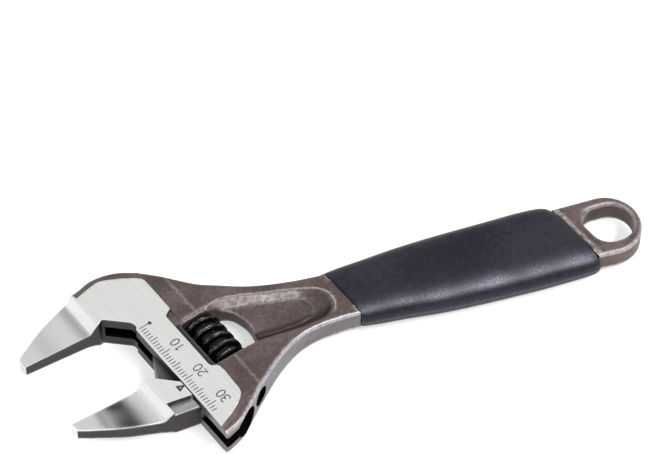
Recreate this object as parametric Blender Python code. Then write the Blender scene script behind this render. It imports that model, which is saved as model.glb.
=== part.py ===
"""Wide-opening adjustable wrench, lying flat on one face: +X runs along the handle to the hang ring.

The head has its own directions. U runs along the slide, in the sense that opens the jaws, and V runs
square to it, from the jaw tips towards the handle. Lengths are in millimetres until a mesh is made.
"""

import math

import bmesh
import bpy
from mathutils import Matrix, Vector

MM = 0.001
GAP = 0.3  # between neighbouring pieces

# Frame: the middle of the bounding box, measured from the centre of the hang ring.
MIDDLE_X = -74.52
MIDDLE_Y = -4.47

# Head
SLIDE_DEG = -70.7  # direction of U in plan, from the handle axis
HEAD_X = -128.0  # the point U = 0, V = 0, from the centre of the hang ring
HEAD_Y = 3.6
HEAD_THICK = 10.6
HALF = HEAD_THICK / 2
EDGE_ROUND = 1.5

# Jaws
JAW_GAP = 21.7  # opening at rest, along U
JAW_SKEW_DEG = 6.3  # the gripping faces lean this much from square to the slide
FACE_U = -7.75  # fixed gripping face, at V = FACE_V
FACE_V = -9.0
TIP_V = -28.6
TIP_HALF = 1.75
ROOT_HALF = 2.35

# Slot and rail
SLOT_HALF = 2.0
SLOT_V = -4.8
RAIL_V = 7.7
RAIL_R = 3.7
RAIL_START = 5.2
RAIL_END = 31.5
RAIL_NOSE = 3.2  # length of the taper at the rail's closing end, and of the bore's blind end
RAIL_NOSE_R = 1.2
BORE_START = -16.8

# Knurl (worm), pin and spring
KNURL_V = 15.3
KNURL_U = 12.5
KNURL_LEN = 14.4
KNURL_R = 5.2
KNURL_ROOT = 3.9
LEAD = 3.1
HAND = 1
PIN_R = 1.5
PIN_HEAD_R = 2.3
PIN_START = 1.6
PIN_HEAD_U = 23.2
PIN_END = 29.8
WINDOW = (4.9, 20.1, 10.2, 26.3)  # U from, U to, V from, V to

# Handle
SLANT = math.tan(math.radians(90 + SLIDE_DEG))
GRIP_START = -73.6
GRIP_END = -8.6
CORE_HALF = 2.3
CORE_WIDTH = (5.4, 7.4)  # half widths of the core, head end and ring end
RING_R = 9.4
RING_HALF = 3.4
HOLE_R = 6.1
HOLE_MIDDLE = (1.8, 0.35)

SLIDE = math.radians(SLIDE_DEG)
U_DIR = Vector((math.cos(SLIDE), math.sin(SLIDE)))
V_DIR = Vector((-math.sin(SLIDE), math.cos(SLIDE)))
FAR = 60.0


def handle(x, y):
    """Plan point given from the centre of the hang ring."""
    return Vector((x - MIDDLE_X, y - MIDDLE_Y))


def head(u, v):
    """Plan point given along and across the slide."""
    return handle(HEAD_X, HEAD_Y) + u * U_DIR + v * V_DIR


def slanted(s, y):
    """Plan point on the handle, at station s along a line parallel to the slide."""
    return handle(s - SLANT * y, y)


def station_v(s):
    """V of a slanted station line."""
    return (s - HEAD_X) * V_DIR.x - HEAD_Y * V_DIR.y


def core_width(s):
    """Half width of the core under the grip, at station s."""
    return CORE_WIDTH[0] + (CORE_WIDTH[1] - CORE_WIDTH[0]) * (s - GRIP_START) / (GRIP_END - GRIP_START)


def face_u(v):
    """Fixed gripping face."""
    return FACE_U + (v - FACE_V) * math.tan(math.radians(JAW_SKEW_DEG))


def spline(points, steps=4):
    """Smooth open line through the points."""
    points = [Vector(p) for p in points]
    ends = [2 * points[0] - points[1]] + points + [2 * points[-1] - points[-2]]
    line = [points[0]]
    for a, b, c, d in zip(ends, ends[1:], ends[2:], ends[3:]):
        for i in range(1, steps + 1):
            t = i / steps
            line.append(
                0.5
                * (2 * b + (c - a) * t + (2 * a - 5 * b + 4 * c - d) * t**2 + (3 * b - a - 3 * c + d) * t**3)
            )
    return line


def arc(cx, cy, radius, start, end, steps):
    """Points of an arc, angles in degrees."""
    angles = [math.radians(start + (end - start) * i / steps) for i in range(steps + 1)]
    return [(cx + radius * math.cos(a), cy + radius * math.sin(a)) for a in angles]


def rounded(corners, steps=4):
    """Closed outline from corners (x, y, radius)."""
    line = []
    count = len(corners)
    for i, (x, y, radius) in enumerate(corners):
        here = Vector((x, y))
        if radius <= 0:
            line.append(here)
            continue
        before = (Vector(corners[i - 1][:2]) - here).normalized()
        after = (Vector(corners[(i + 1) % count][:2]) - here).normalized()
        half = before.angle(after) / 2
        reach = radius / math.tan(half)
        centre = here + (before + after).normalized() * radius / math.sin(half)
        first = here + before * reach - centre
        sweep = math.pi - 2 * half
        if first.cross(here + after * reach - centre) < 0:
            sweep = -sweep
        for k in range(steps + 1):
            line.append(centre + Matrix.Rotation(sweep * k / steps, 2) @ first)
    return line


def new_object(name, mesh, collection):
    obj = bpy.data.objects.new(name, mesh)
    collection.objects.link(obj)
    return obj


def from_bmesh(name, bm, collection):
    bmesh.ops.recalc_face_normals(bm, faces=bm.faces)
    mesh = bpy.data.meshes.new(name)
    bm.to_mesh(mesh)
    bm.free()
    return new_object(name, mesh, collection)


def loft(name, loops, collection):
    """Closed solid through loops of 3-D points in millimetres, capped at both ends."""
    bm = bmesh.new()
    rings = [[bm.verts.new(Vector(p) * MM) for p in loop] for loop in loops]
    for low, high in zip(rings, rings[1:]):
        for i in range(len(low)):
            j = (i + 1) % len(low)
            bm.faces.new((low[i], low[j], high[j], high[i]))
    bm.faces.new(rings[0][::-1])
    bm.faces.new(rings[-1])
    return from_bmesh(name, bm, collection)


def prism(name, outline, low, high, collection):
    """Upright solid on a plan outline."""
    return loft(name, [[(p[0], p[1], z) for p in outline] for z in (low, high)], collection)


def swept(name, profile, place, low, high, collection):
    """Solid with a (V, z) profile, run along the slide from U = low to U = high."""
    loops = [[(*place(u, v), z) for v, z in profile] for u in (low, high)]
    return loft(name, loops, collection)


def rod(name, u_radius, v, z, place, collection, sides=32):
    """Turned solid along the slide, from (u, radius) pairs."""
    loops = []
    for u, radius in u_radius:
        ring = [(v + a, z + b) for a, b in arc(0, 0, radius, 0, 360 - 360 / sides, sides - 1)]
        loops.append([(*place(u, a), b) for a, b in ring])
    return loft(name, loops, collection)


def boolean(obj, other, operation):
    mod = obj.modifiers.new(other.name, "BOOLEAN")
    mod.operation = operation
    mod.solver = "EXACT"
    mod.object = other


def bake(obj, angle=30):
    """Replace the mesh by its evaluated form, with small slivers welded."""
    bpy.context.view_layer.update()
    evaluated = obj.evaluated_get(bpy.context.evaluated_depsgraph_get())
    mesh = bpy.data.meshes.new_from_object(evaluated)
    obj.modifiers.clear()
    obj.data = mesh
    bm = bmesh.new()
    bm.from_mesh(mesh)
    bmesh.ops.remove_doubles(bm, verts=bm.verts, dist=1e-6)
    bmesh.ops.dissolve_degenerate(bm, edges=bm.edges, dist=1e-6)
    bm.to_mesh(mesh)
    bm.free()
    mesh.shade_smooth()
    mesh.set_sharp_from_angle(angle=math.radians(angle))


def material(name, colour, roughness, metallic):
    mat = bpy.data.materials.new(name)
    mat.use_nodes = True
    shader = mat.node_tree.nodes["Principled BSDF"]
    shader.inputs["Base Color"].default_value = (*colour, 1)
    shader.inputs["Roughness"].default_value = roughness
    shader.inputs["Metallic"].default_value = metallic
    return mat


def mirrored(profile):
    """Closed (V, z) profile from half thicknesses above the middle plane."""
    return [(v, HALF + h) for v, h in profile] + [(v, HALF - h) for v, h in reversed(profile)]


def inset(outline, distances):
    """Outline moved inwards, by its own distance at each corner."""
    count = len(outline)
    area = sum(outline[i - 1].cross(outline[i]) for i in range(count))
    turn = 1 if area > 0 else -1
    line = []
    for i, here in enumerate(outline):
        before = (here - outline[i - 1]).normalized()
        after = (outline[(i + 1) % count] - here).normalized()
        normals = [turn * Vector((-d.y, d.x)) for d in (before, after)]
        middle = (normals[0] + normals[1]).normalized()
        line.append(here + middle * distances[i] / max(middle.dot(normals[0]), 0.5))
    return line


def v_of(point):
    return (Vector(point[:2]) - head(0, 0)).dot(V_DIR)


# ---------------------------------------------------------------- body

BACK = [(-13.3, -27.4), (-16.9, -19.0), (-18.4, -14.0), (-20.2, -6.7), (-21.5, -0.5), (-20.3, 5.4)]
BACK += [(-17.3, 10.2), (-12.0, 15.2), (-4.6, 21.2)]
SHANK_TOP = [(-104.6, 13.0), (-96.0, 10.0), (-86.0, 8.5), (-78.2, 8.1)]
SHANK_LOW = [(-75.0, -7.5), (-82.0, -8.2), (-88.4, -10.2), (-95.2, -14.9), (-101.8, -21.4)]
HEAD_END = [(33.6, 14.0), (36.0, 9.8), (38.2, 5.6), (39.3, 1.0)]


def body_outline():
    """Plan corners, each with its half thickness and edge rounding."""
    back = [head(*p) for p in BACK] + [handle(*p) for p in SHANK_TOP]
    low = [handle(*p) for p in SHANK_LOW] + [head(*p) for p in HEAD_END]
    upper = [head(0, TIP_V), head(-12.2, TIP_V + 0.3)] + spline(back, 4) + [slanted(GRIP_START, 8.1)]
    lower = [slanted(GRIP_START, -7.5)] + spline(low, 4) + [head(39.3, -4), head(0, -4)]
    core_top = [slanted(GRIP_START, CORE_WIDTH[0]), slanted(GRIP_END, CORE_WIDTH[1])]
    core_low = [slanted(GRIP_END, -CORE_WIDTH[1]), slanted(GRIP_START, -CORE_WIDTH[0])]
    ring = [slanted(GRIP_END, RING_R - 0.2)] + [handle(*p) for p in arc(0.3, 0, RING_R, 90, -90, 20)]
    ring += [slanted(GRIP_END, 0.2 - RING_R)]
    corners = []
    stretches = [(upper, None), (core_top, CORE_HALF), (ring, RING_HALF)]
    stretches += [(core_low, CORE_HALF), (lower, None)]
    for line, fixed in stretches:
        for point in line:
            v = v_of(point)
            half = fixed or half_at(v)
            round_off = 0.25 if fixed == CORE_HALF else 1.0
            if not fixed:
                round_off = 0.25 + (EDGE_ROUND - 0.25) * min(max((v + 9) / 5, 0), 1) - 0.3 * (v > 30)
            corners.append((point, half, round_off))
    return corners


def body_blank(parts):
    """Upright walls whose rounded edges meet the top and bottom faces wherever those lie."""
    corners = body_outline()
    outline = [c[0] for c in corners]
    loops = []
    for sign in (1, -1):
        side = []
        for drop, part in ((None, 0.97), (0.03, 0.97), (0.22, 0.55), (0.55, 0.2), (1, 0)):
            line = inset(outline, [part * c[2] for c in corners])
            heights = [HALF + 6 if drop is None else c[1] - drop * c[2] for c in corners]
            side.append([(p.x, p.y, HALF + sign * h) for p, h in zip(line, heights)])
        loops += side if sign > 0 else side[::-1]
    return loft("body", loops, parts)


def half_profile():
    """Half thickness along V: thin jaw, ramp, polished band, forged web, shank, core and ring."""
    core = (station_v(GRIP_START), station_v(GRIP_END))
    return [
        (TIP_V - 3, TIP_HALF - 0.1),
        (TIP_V, TIP_HALF),
        (-9.4, ROOT_HALF),
        (-8.8, ROOT_HALF + 0.9),
        (-6.7, HALF),
        (10.6, HALF),
        (11.0, HALF - 0.5),
        (15.7, HALF - 0.5),
        (24.0, HALF - 1.1),
        (38.0, HALF - 1.7),
        (core[0], HALF - 1.8),
        (core[0], CORE_HALF),
        (core[1], CORE_HALF),
        (core[1], RING_HALF),
        (station_v(20), RING_HALF),
    ]


def half_at(v):
    """Half thickness at V."""
    profile = half_profile()
    for (a, p), (b, q) in zip(profile, profile[1:]):
        if a <= v < b:
            return p + (q - p) * (v - a) / (b - a)
    return profile[-1][1]


def mouth():
    """Everything the jaws open on: gripping face, throat flats and slide face."""
    return [
        (face_u(TIP_V - 4), TIP_V - 4),
        (face_u(-6.8), -6.8),
        (-8.1, -5.6),
        (-8.1, -5.0),
        (-3.2, 0.0),
        (-2.2, 0.5),
        (-0.9, 0.5),
        (-0.4, 0.0),
        (FAR, 0.0),
        (FAR, TIP_V - 4),
    ]


def panel(margin):
    """Outline of the thumb recess in the shank, open towards the knurl window, drawn in by the margin."""
    end = arc(-81.2 - margin * 0.4, 0, 6.1 - margin, 75, -75, 10)
    top = [(-107.0, 8.4 - margin), (-97.0, 7.9 - margin), (-87.0, 6.9 - margin)]
    line = top + end + [(x, -y) for x, y in reversed(top)]
    return [handle(*p) for p in line]


def panel_cutter(side, collection):
    """Recess with sloping walls and a raised pad on its floor."""
    surface = HALF + 0.6
    floor = HALF - 3.4
    loops = []
    for margin, h in ((-1.2, surface), (1.9, floor + 0.3), (2.6, floor)):
        loops.append([(*p, HALF + side * h) for p in panel(margin)])
    cutter = loft(f"cut_panel_{side}", loops, collection)
    pad_line = [(-108, 3.7), (-96, 3.7), (-88, 3.4)]
    pad_line += arc(-86.2, 0, 3.4, 70, -70, 6)
    pad_line += [(-88, -3.4), (-96, -3.7), (-108, -3.7)]
    levels = sorted((HALF + side * (floor - 1), HALF + side * (floor + 0.35)))
    pad = prism(f"cut_pad_{side}", [handle(*p) for p in pad_line], *levels, collection)
    boolean(cutter, pad, "DIFFERENCE")
    bake(cutter)
    return cutter


def hole_outline(grow):
    """Hang hole: round at the end, squared off by a slanted wall on the handle side."""
    x, y = HOLE_MIDDLE
    radius = HOLE_R + grow
    low, high = y - radius, y + radius
    wall = -4.9 - grow
    square = [(x, low, 0), (wall - SLANT * low, low, 3.4), (wall - SLANT * high, high, 2.8), (x, high, 0)]
    line = arc(x, y, radius, 90, -90, 20) + rounded(square)[1:-1]
    return [handle(*p) for p in line]


def window_outline():
    """Knurl window, a little bowed on the handle side."""
    u0, u1, v0, v1 = WINDOW
    corners = [(u0, v0, 0.6), (u1, v0, 0.6), (u1, v1 - 1.6, 1.6)]
    corners += [(12.0, v1 + 1.3, 11.0), (u0 + 0.1, v1 - 0.8, 3.0)]
    return [head(*p) for p in rounded(corners)]


def make_body(parts, cutters):
    body = body_blank(parts)
    side = swept("cut_side", mirrored(half_profile()), head, -FAR * 2, FAR * 2, cutters)
    boolean(body, side, "INTERSECT")
    bake(body)
    flare = [(0, RING_HALF - 1.1), (0.14, RING_HALF - 0.6), (0.5, RING_HALF - 0.15), (1.1, RING_HALF + 0.2)]
    flare += [(1.1, HALF + 1)]
    hole_levels = [(grow, HALF - h) for grow, h in reversed(flare)] + [(grow, HALF + h) for grow, h in flare]
    slot_corners = [(SLOT_V, -SLOT_HALF), (SLOT_V, SLOT_HALF), (RAIL_V, SLOT_HALF), (RAIL_V, -SLOT_HALF)]
    pin_hole = [(PIN_START - GAP, PIN_R + GAP), (24, PIN_R + GAP)]
    plug_hole = [(PIN_HEAD_U - GAP, PIN_HEAD_R + GAP), (FAR, PIN_HEAD_R + GAP)]
    rail_bore = [(BORE_START, RAIL_NOSE_R + GAP), (BORE_START + RAIL_NOSE, RAIL_R + GAP), (FAR, RAIL_R + GAP)]
    tools = [
        prism("cut_mouth", [head(*p) for p in mouth()], -3, HEAD_THICK + 3, cutters),
        swept(
            "cut_slot",
            [(v, HALF + z) for v, z in slot_corners],
            head,
            BORE_START,
            FAR,
            cutters,
        ),
        rod("cut_bore", rail_bore, RAIL_V, HALF, head, cutters, 40),
        prism("cut_window", window_outline(), -3, HEAD_THICK + 3, cutters),
        rod("cut_pin", pin_hole, KNURL_V, HALF, head, cutters, 28),
        rod("cut_plug", plug_hole, KNURL_V, HALF, head, cutters, 28),
        loft("cut_hole", [[(*p, z) for p in hole_outline(grow)] for grow, z in hole_levels], cutters),
    ]
    for side_sign in (-1, 1):
        low, high = sorted((HALF + side_sign * (HALF - 0.9), HALF + side_sign * (HALF + 1)))
        strip = [(1.0, 8.5, 0), (20.0, 8.5, 0), (21.0, 10.2, 0)]
        strip += [(21.0, 10.9, 0), (-0.2, 10.9, 0), (-0.2, 10.2, 0)]
        tools.append(
            prism(f"cut_strip_{side_sign}", [head(u, v) for u, v in rounded(strip)], low, high, cutters)
        )
        tools.append(panel_cutter(side_sign, cutters))
    for tool in tools:
        boolean(body, tool, "DIFFERENCE")
    bake(body)
    return body


# ---------------------------------------------------------------- movable jaw

def rail_place(u, v):
    """Jaw mesh coordinates: origin on the rail axis, X along the slide."""
    return (u, v - RAIL_V)


def jaw_outline():
    inner = [(face_u(TIP_V) + JAW_GAP, TIP_V), (face_u(-6.4) + JAW_GAP, -6.4), (15.0, -5.0), (19.9, -GAP)]
    outer = [(28.4, -GAP), (27.2, -7.5)]
    outer += [tuple(p) for p in spline([(26.6, -9.6), (24.2, -13.8), (20.9, -19.2), (16.4, -25.7)], 3)]
    outer += [(14.3, TIP_V + 0.1)]
    return inner + outer


def make_jaw(parts, cutters):
    jaw = prism("movable_jaw", [rail_place(*p) for p in jaw_outline()], -HALF - 1, HALF + 1, parts)
    profile = [(TIP_V - 3, TIP_HALF - 0.1), (-9.6, ROOT_HALF), (-9.0, ROOT_HALF + 0.9)]
    profile += [(-6.6, HALF), (4, HALF)]
    side = [(v, h) for v, h in profile] + [(v, -h) for v, h in reversed(profile)]
    boolean(jaw, swept("cut_jaw_side", side, rail_place, -FAR, FAR, cutters), "INTERSECT")
    for sign in (-1, 1):
        low, high = sorted((sign * (HALF - 1.9), sign * (HALF + 1)))
        corners = [(23.2, -7.1, 0), (25.3, 1, 0), (33, 1, 0)]
        corners += [(33, -9.5, 0), (26.0, -9.5, 0), (24.8, -7.1, 0)]
        relief = rounded(corners)
        cutter = prism(f"cut_relief_{sign}", [rail_place(*p) for p in relief], low, high, cutters)
        boolean(jaw, cutter, "DIFFERENCE")
    bake(jaw)
    web = [(14.5, -7.0), (13.5, -3.9), (12.4, -3.2), (6.9, -0.1), (6.2, 0.6), (RAIL_START + 0.6, RAIL_V)]
    web += [(30.5, RAIL_V), (29.4, 2.0), (28.4, -1.0), (27.0, -7.0)]
    outline = [rail_place(*p) for p in web]
    boolean(jaw, prism("cut_web", outline, GAP - SLOT_HALF, SLOT_HALF - GAP, cutters), "UNION")
    bevel = 0.5
    ends = [(RAIL_START, RAIL_NOSE_R), (RAIL_START + RAIL_NOSE, RAIL_R)]
    ends += [(RAIL_END - bevel, RAIL_R), (RAIL_END, RAIL_R - bevel)]
    rail = rod(
        "cut_rail",
        ends,
        RAIL_V, 0, rail_place, cutters, 40,
    )
    boolean(rail, rack_cutter(cutters), "DIFFERENCE")
    bake(rail)
    boolean(jaw, rail, "UNION")
    bake(jaw)
    jaw.location = (*(head(0, RAIL_V) * MM), HALF * MM)
    jaw.rotation_euler.z = SLIDE
    return jaw


def rack_cutter(cutters):
    """Grooves for the worm's crests, set over to its helix, under a flat that clears its root."""
    slope = HAND * LEAD / (2 * math.pi * 4.6)
    floor = KNURL_V - KNURL_R - 0.35
    tip = KNURL_V - KNURL_ROOT - 0.35
    top = tip + 1.2
    widths = ((0.62, floor), (1.25, tip))
    bm = bmesh.new()
    first = math.ceil((RAIL_START - 2 - KNURL_U) / LEAD)
    last = math.floor((RAIL_END + 2 - KNURL_U) / LEAD)
    line = []
    for k in range(first, last + 1):
        middle = KNURL_U + k * LEAD
        line += [(middle - widths[1][0], tip), (middle - widths[0][0], floor)]
        line += [(middle + widths[0][0], floor), (middle + widths[1][0], tip)]
    line = [(line[0][0], top)] + line + [(line[-1][0], top)]
    rings = []
    for z in (-RAIL_R - 1, RAIL_R + 1):
        rings.append([bm.verts.new(Vector((*rail_place(u + slope * z, v), z)) * MM) for u, v in line])
    for i in range(len(line)):
        j = (i + 1) % len(line)
        bm.faces.new((rings[0][i], rings[0][j], rings[1][j], rings[1][i]))
    bm.faces.new(rings[0][::-1])
    bm.faces.new(rings[1])
    return from_bmesh("cut_rack", bm, cutters)


# ---------------------------------------------------------------- knurl, pin, spring

def worm_radius(x, theta):
    """Worm surface: flat crests, sloping flanks, flat roots; theta is nought towards the rail."""
    phase = (x / LEAD + HAND * theta / (2 * math.pi)) % 1.0
    off = min(phase, 1 - phase) * LEAD
    crest, flank = 0.42, 0.66
    t = min(max((off - crest) / flank, 0), 1)
    radius = KNURL_R + (KNURL_ROOT - KNURL_R) * t
    from_end = KNURL_LEN / 2 - abs(x)
    return min(radius, KNURL_R - 0.7 + from_end * 1.2)


def make_knurl(parts):
    sides = 40
    rows = 58
    counterbore = PIN_R + 1.5
    angles = [2 * math.pi * i / sides for i in range(sides)]

    def ring(x, radius_of):
        points = []
        for a in angles:
            r = radius_of(x, a)
            points.append((x, -r * math.cos(a), -r * math.sin(a)))
        return points

    half = KNURL_LEN / 2
    loops = [ring(-half + 5.2, lambda x, a: PIN_R + GAP), ring(-half + 5.2, lambda x, a: counterbore)]
    loops += [ring(-half, lambda x, a: counterbore)]
    loops += [ring(-half + KNURL_LEN * i / rows, worm_radius) for i in range(rows + 1)]
    loops += [ring(half, lambda x, a: PIN_R + GAP)]
    bm = bmesh.new()
    rings = [[bm.verts.new(Vector(p) * MM) for p in loop] for loop in loops]
    for low, high in zip(rings, rings[1:] + rings[:1]):
        for i in range(sides):
            j = (i + 1) % sides
            bm.faces.new((low[i], low[j], high[j], high[i]))
    knurl = from_bmesh("adjusting_knurl", bm, parts)
    knurl.location = (*(head(KNURL_U, KNURL_V) * MM), HALF * MM)
    knurl.rotation_euler.z = SLIDE
    bake(knurl, 25)
    return knurl


def pin_place(u, v):
    return (u - KNURL_U, v)


def make_pin(parts, cutters):
    turned = [(PIN_START, PIN_R - 0.3), (PIN_START + 0.3, PIN_R), (PIN_HEAD_U, PIN_R)]
    turned += [(PIN_HEAD_U, PIN_HEAD_R - 0.3), (PIN_HEAD_U + 0.3, PIN_HEAD_R)]
    turned += [(PIN_END - 0.3, PIN_HEAD_R), (PIN_END, PIN_HEAD_R - 0.3)]
    pin = rod("knurl_pin", turned, 0, 0, pin_place, parts, 28)
    slot = [(-0.35, -3), (0.35, -3), (0.35, 3), (-0.35, 3)]
    driver = swept("cut_driver", slot, pin_place, PIN_END - 1.0, PIN_END + 2, cutters)
    boolean(pin, driver, "DIFFERENCE")
    bake(pin)
    pin.location = (*(head(KNURL_U, KNURL_V) * MM), HALF * MM)
    pin.rotation_euler.z = SLIDE
    return pin


def make_spring(parts):
    """Coil spring round the pin, pressing the knurl against the far wall of its window."""
    wire, radius, turns, around = 0.36, 2.25, 4.5, 8
    start = -KNURL_LEN / 2 + 0.5
    length = 4.0
    steps = 72
    loops = []
    for i in range(steps + 1):
        t = i / steps
        a = 2 * math.pi * turns * t
        centre = Vector((start + length * t, radius * math.cos(a), radius * math.sin(a)))
        out = Vector((0, math.cos(a), math.sin(a)))
        along = Vector((length / (2 * math.pi * turns * radius), -math.sin(a), math.cos(a))).normalized()
        side = along.cross(out)
        loop = []
        for k in range(around):
            b = 2 * math.pi * k / around
            loop.append(centre + wire * (out * math.cos(b) + side * math.sin(b)))
        loops.append(loop)
    spring = loft("knurl_spring", loops, parts)
    bake(spring)
    spring.location = (*(head(KNURL_U, KNURL_V) * MM), HALF * MM)
    spring.rotation_euler.z = SLIDE
    return spring


# ---------------------------------------------------------------- grip

# Station, half width, half thickness and sideways shift of the sleeve.
GRIP_SHAPE = [
    (GRIP_START + 0.1, 7.7, 3.5, 0.3),
    (GRIP_START + 0.5, 8.2, 3.95, 0.3),
    (-69.0, 8.9, 4.25, 0.2),
    (-62.0, 9.9, 4.75, 0.1),
    (-52.0, 10.9, 5.15, 0.0),
    (-40.0, 11.5, HALF, 0.0),
    (-27.0, 11.8, HALF, 0.0),
    (-17.0, 11.9, 5.1, 0.2),
    (-11.6, 11.6, 4.7, 0.3),
    (GRIP_END - 1.0, 10.9, 4.25, 0.2),
    (GRIP_END - 0.3, 10.0, 3.6, 0.1),
]


def make_grip(parts, cutters):
    sides = 48
    power = 2 / 3.0
    loops = []
    stations = []
    for (a, b) in zip(GRIP_SHAPE, GRIP_SHAPE[1:]):
        count = 1 if b[0] - a[0] < 3 else 2
        stations += [[p + (q - p) * i / count for p, q in zip(a, b)] for i in range(count)]
    stations.append(GRIP_SHAPE[-1])
    for s, width, thick, shift in stations:
        loop = []
        for k in range(sides):
            a = 2 * math.pi * k / sides
            c, d = math.cos(a), math.sin(a)
            y = shift + math.copysign(abs(c) ** power * width, c)
            z = HALF + math.copysign(abs(d) ** power * thick, d)
            loop.append((*slanted(s, y), z))
        loops.append(loop)
    grip = loft("handle_grip", loops, parts)
    widths = [(s, side * (core_width(s) + GAP)) for s, side in ((-90, 1), (20, 1), (20, -1), (-90, -1))]
    hollow = [slanted(*p) for p in widths]
    inner = prism("cut_hollow", hollow, HALF - CORE_HALF - GAP, HALF + CORE_HALF + GAP, cutters)
    boolean(grip, inner, "DIFFERENCE")
    bake(grip)
    return grip


# ---------------------------------------------------------------- assembly

def main():
    for old in list(bpy.data.objects):
        bpy.data.objects.remove(old)
    scene = bpy.context.scene
    parts = bpy.data.collections.new("adjustable_wrench")
    cutters = bpy.data.collections.new("cutters")
    scene.collection.children.link(parts)
    scene.collection.children.link(cutters)

    forged = material("forged_steel", (0.16, 0.12, 0.11), 0.5, 0.9)
    ground = material("ground_steel", (0.62, 0.62, 0.62), 0.3, 1.0)
    black = material("black_steel", (0.02, 0.02, 0.022), 0.35, 0.9)
    pin_steel = material("pin_steel", (0.3, 0.3, 0.31), 0.35, 1.0)
    spring_steel = material("spring_steel", (0.45, 0.45, 0.46), 0.3, 1.0)
    rubber = material("grip_rubber", (0.03, 0.03, 0.04), 0.55, 0.0)

    pieces = [
        (make_body(parts, cutters), forged),
        (make_jaw(parts, cutters), ground),
        (make_knurl(parts), black),
        (make_pin(parts, cutters), pin_steel),
        (make_spring(parts), spring_steel),
        (make_grip(parts, cutters), rubber),
    ]
    for obj, mat in pieces:
        obj.data.materials.clear()
        obj.data.materials.append(mat)
    for cutter in cutters.objects:
        cutter.hide_render = True
        cutter.display_type = "WIRE"
    cutters.hide_render = True


main()
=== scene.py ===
"""Adjustable wrench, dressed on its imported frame. Shapes are worked out in millimetres, in the part's frame.

The head has its own directions: U runs along the slide in the sense that opens the jaws, and V runs
square to it, from the jaw tips towards the handle. Places on the handle are given from the hang ring's
centre. Upper and lower faces share one plan.
"""

import math

import bmesh
import bpy
import numpy as np
from mathutils import Matrix, Vector, noise
from mathutils.geometry import delaunay_2d_cdt


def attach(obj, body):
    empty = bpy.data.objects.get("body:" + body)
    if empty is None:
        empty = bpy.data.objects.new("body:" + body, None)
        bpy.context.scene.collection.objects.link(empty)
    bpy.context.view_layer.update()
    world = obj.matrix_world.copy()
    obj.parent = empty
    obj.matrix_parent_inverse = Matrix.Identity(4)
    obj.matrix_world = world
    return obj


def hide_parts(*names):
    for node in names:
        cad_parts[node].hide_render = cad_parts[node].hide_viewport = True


MM = 0.001

# directions and places in plan
SLIDE_DEG = -70.7  # from +X
SLIDE = math.radians(SLIDE_DEG)
SLANT = math.tan(math.radians(90 + SLIDE_DEG))  # the sleeve's ends are cut along the slide
U_DIR = np.array([math.cos(SLIDE), math.sin(SLIDE)])
V_DIR = np.array([-math.sin(SLIDE), math.cos(SLIDE)])
RING = np.array([74.52, 4.47])  # centre of the hang ring
HEAD = RING + np.array([-128.0, 3.6])  # U = 0, V = 0
BEYOND = 60  # a U past everything on the head
FACE_U = -7.75  # the fixed jaw's face passes through this U
FACE_V = -9.0  # at this V
SKEW = math.tan(math.radians(6.3))  # and leans this much
JAW_GAP = 21.7
TIP_V = -28.6
RAMP_TOP = -6.7  # V where the ramp reaches the ground face
HEAD_BACK = 15.7  # V of the crease between head and shank

# thickness
THICK = 10.6
HALF = THICK / 2
TOP = HALF - 0.03  # half thickness of the ground faces
FORGED_HALF = 4.62  # half thickness of the head beside its ground faces
CORE_HALF = 2.3
RING_HALF = 3.4

# rail, its bore and its slot
RAIL_V = 7.7
RAIL_R = 3.7
RAIL_START = 5.2
RAIL_END = 31.5
RAIL_NOSE = 3.2  # length of the rail's tapered end, and of the bore's
RAIL_NOSE_R = 1.2
BORE_START = -16.8
GAP = 0.3  # between the rail and its bore
SLOT_V = -4.8  # V of the slot's front edge
SLOT_LOW = 3.3  # Z of its sides
SLOT_HIGH = 7.3
STRIP_DEPTH = 0.9  # of the pocket over the rack

# knurl and its pin
KNURL_U = 12.5
KNURL_V = 15.3
KNURL_LEN = 14.4
KNURL_R = 5.2
KNURL_ROOT = 3.9
LEAD = 3.1
PIN_HOLE_R = 1.8
PLUG_HOLE_R = 2.6
COUNTERBORE_R = 3.0
COUNTERBORE_DEPTH = 5.2

# handle
GRIP_START = -73.6
GRIP_END = -8.6
CORE_WIDTH = (5.4, 7.4)
RING_R = 9.4

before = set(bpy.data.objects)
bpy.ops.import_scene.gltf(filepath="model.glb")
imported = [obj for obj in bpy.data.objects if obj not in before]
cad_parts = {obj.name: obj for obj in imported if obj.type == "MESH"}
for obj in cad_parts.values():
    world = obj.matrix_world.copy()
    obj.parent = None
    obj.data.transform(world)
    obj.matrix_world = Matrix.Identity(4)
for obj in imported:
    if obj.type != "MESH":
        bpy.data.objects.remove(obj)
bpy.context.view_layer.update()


# ---------------------------------------------------------------- plan geometry


def head(u, v):
    return HEAD + u * U_DIR + v * V_DIR


def heads(points):
    return [head(u, v) for u, v in points]


def uv(p):
    d = np.asarray(p) - HEAD
    return d @ U_DIR, d @ V_DIR


def handle(x, y):
    return RING + np.array([x, y])


def handles(points):
    return [handle(x, y) for x, y in points]


def slanted(s, y):
    return handle(s - SLANT * y, y)


def station_v(s):
    return uv(slanted(s, 0))[1]


def face_u(v):
    return FACE_U + (v - FACE_V) * SKEW


def spline(points, steps=4):
    """Smooth line through the points."""
    points = [np.array(p, float) for p in points]
    ends = [2 * points[0] - points[1]] + points + [2 * points[-1] - points[-2]]
    line = [points[0]]
    for a, b, c, d in zip(ends, ends[1:], ends[2:], ends[3:]):
        for i in range(1, steps + 1):
            t = i / steps
            square = (2 * a - 5 * b + 4 * c - d) * t**2
            cube = (3 * b - a - 3 * c + d) * t**3
            line.append(0.5 * (2 * b + (c - a) * t + square + cube))
    return line


def arc(cx, cy, radius, start, end, steps):
    angles = np.radians(np.linspace(start, end, steps + 1))
    return [np.array([cx + radius * math.cos(a), cy + radius * math.sin(a)]) for a in angles]


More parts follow.
